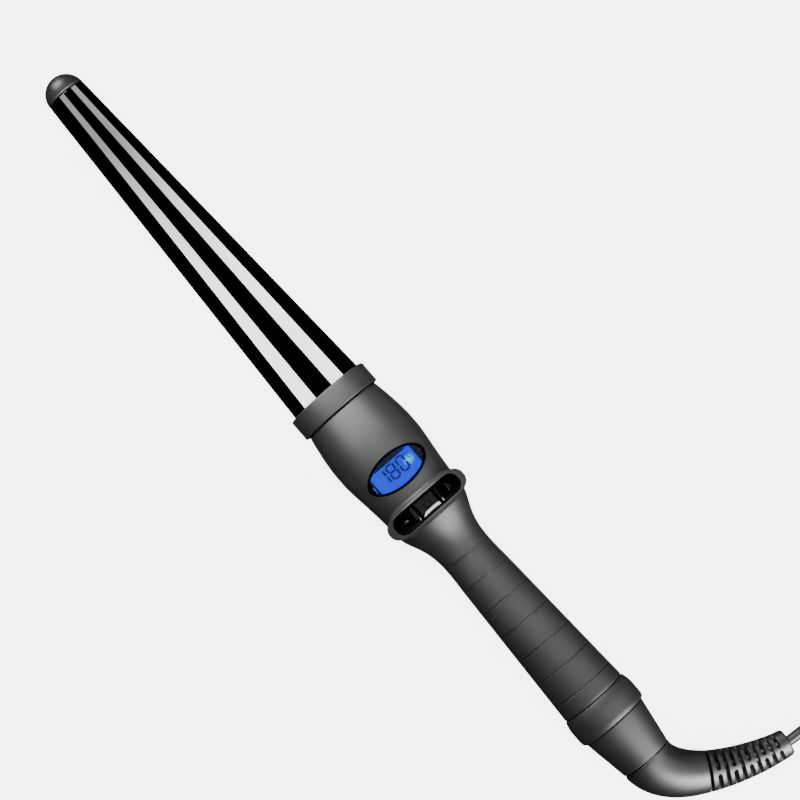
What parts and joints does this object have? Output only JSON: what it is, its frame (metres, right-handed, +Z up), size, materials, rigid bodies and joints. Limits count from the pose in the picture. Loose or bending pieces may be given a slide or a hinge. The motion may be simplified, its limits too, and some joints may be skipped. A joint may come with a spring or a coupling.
{
  "type": "curling wand",
  "caption": "Hair-curling wand: a tapered heated barrel, a waisted handle with a blue display and push buttons, and a swivelling mains lead coiled with its plug.",
  "frame": {"origin": "centre of the wand's footprint on the table, cord pieces left out", "axes": "+X from the barrel's tip towards the lead, +Y towards the side the lead leaves by, +Z up through the display and the buttons"},
  "size_m": [0.4093, 0.0885, 0.0297],
  "materials": {
    "soft_touch_plastic": "soft-touch satin black, fine grain",
    "tip_plastic": "satin black, heat resistant",
    "black_barrel": "mirror-gloss black ceramic coating on aluminium",
    "spreader_aluminium": "extruded, mill finish",
    "heater_ceramic": "unglazed ceramic",
    "heatproof_plastic": "glass-filled heat-resistant plastic",
    "steel": "zinc plated",
    "sensor_glass": "glass",
    "gloss_black": "polished black",
    "display_glass": "clear tinted window",
    "lcd_blue": "blue backlit display",
    "white_plastic": "moulded white",
    "switch_plastic": "moulded grey",
    "circuit_board": "green solder mask",
    "component_black": "moulded epoxy",
    "component_yellow": "moulded epoxy",
    "component_blue": "sleeved aluminium can",
    "wire_red": "silicone insulation",
    "wire_black": "silicone insulation",
    "wire_white": "silicone insulation",
    "contact_brass": "polished by rubbing",
    "relief_pvc": "moulded flexible black",
    "cord_pvc": "extruded satin black",
    "tie_plastic": "moulded black",
    "plug_pvc": "moulded black",
    "pin_nickel": "nickel plated"
  },
  "bodies": {
    "handle": {"tip_cap": "tip_plastic", "barrel_tube": "black_barrel", "heat_spreader_upper": "spreader_aluminium", "heat_spreader_lower": "spreader_aluminium", "ptc_heater": "heater_ceramic", "thermal_fuse": "steel", "thermistor": "sensor_glass", "insulating_washer": "heatproof_plastic", "barrel_mount": "heatproof_plastic", "collar_ring": "soft_touch_plastic", "front_shell": "soft_touch_plastic", "back_shell": "soft_touch_plastic", "shell_screw_front": "steel", "shell_screw_rear": "steel", "display_bezel": "gloss_black", "display_lens": "display_glass", "lcd_panel": "lcd_blue", "lcd_backlight": "white_plastic", "minus_switch": "switch_plastic", "power_switch": "switch_plastic", "plus_switch": "switch_plastic", "control_board": "circuit_board", "controller_chip": "component_black", "power_board": "circuit_board", "triac": "component_black", "mains_capacitor": "component_yellow", "board_fuse": "sensor_glass", "smoothing_capacitor": "component_blue", "heater_lead_live": "wire_red", "heater_lead_neutral": "wire_black", "sensor_lead": "wire_white", "tail_ring": "soft_touch_plastic", "tail_cone": "soft_touch_plastic", "contact_carrier": "heatproof_plastic", "ring_brush": "contact_brass", "centre_brush": "contact_brass", "swivel_retainer": "steel"},
    "minus_key": {"minus_button": "gloss_black", "minus_plunger": "white_plastic"},
    "power_key": {"power_button": "gloss_black", "power_plunger": "white_plastic"},
    "plus_key": {"plus_button": "gloss_black", "plus_plunger": "white_plastic"},
    "swivel": {"swivel_neck": "component_black", "swivel_hub": "heatproof_plastic", "contact_ring": "contact_brass", "centre_contact": "contact_brass", "strain_relief": "relief_pvc", "power_cord": "cord_pvc", "cord_coil": "cord_pvc", "cord_end": "cord_pvc", "cord_tie": "tie_plastic", "plug_body": "plug_pvc", "plug_pin_left": "pin_nickel", "plug_pin_right": "pin_nickel"}
  },
  "joints": [
    {"name": "minus_press", "type": "slide", "parent": "handle", "child": "minus_key", "axis": [-0.0264, 0, -0.9997], "range_m": [0, 0.0006], "stiffness_N_per_m": 600, "springref_m": -0.001},
    {"name": "power_press", "type": "slide", "parent": "handle", "child": "power_key", "axis": [-0.0264, 0, -0.9997], "range_m": [0, 0.0006], "stiffness_N_per_m": 600, "springref_m": -0.001},
    {"name": "plus_press", "type": "slide", "parent": "handle", "child": "plus_key", "axis": [-0.0264, 0, -0.9997], "range_m": [0, 0.0006], "stiffness_N_per_m": 600, "springref_m": -0.001},
    {"name": "cord_swivel", "type": "hinge", "parent": "handle", "child": "swivel", "pos_m": [0.12262, -0.01092, 0.0116], "axis": [0.9997, 0, -0.0264], "continuous": true}
  ]
}
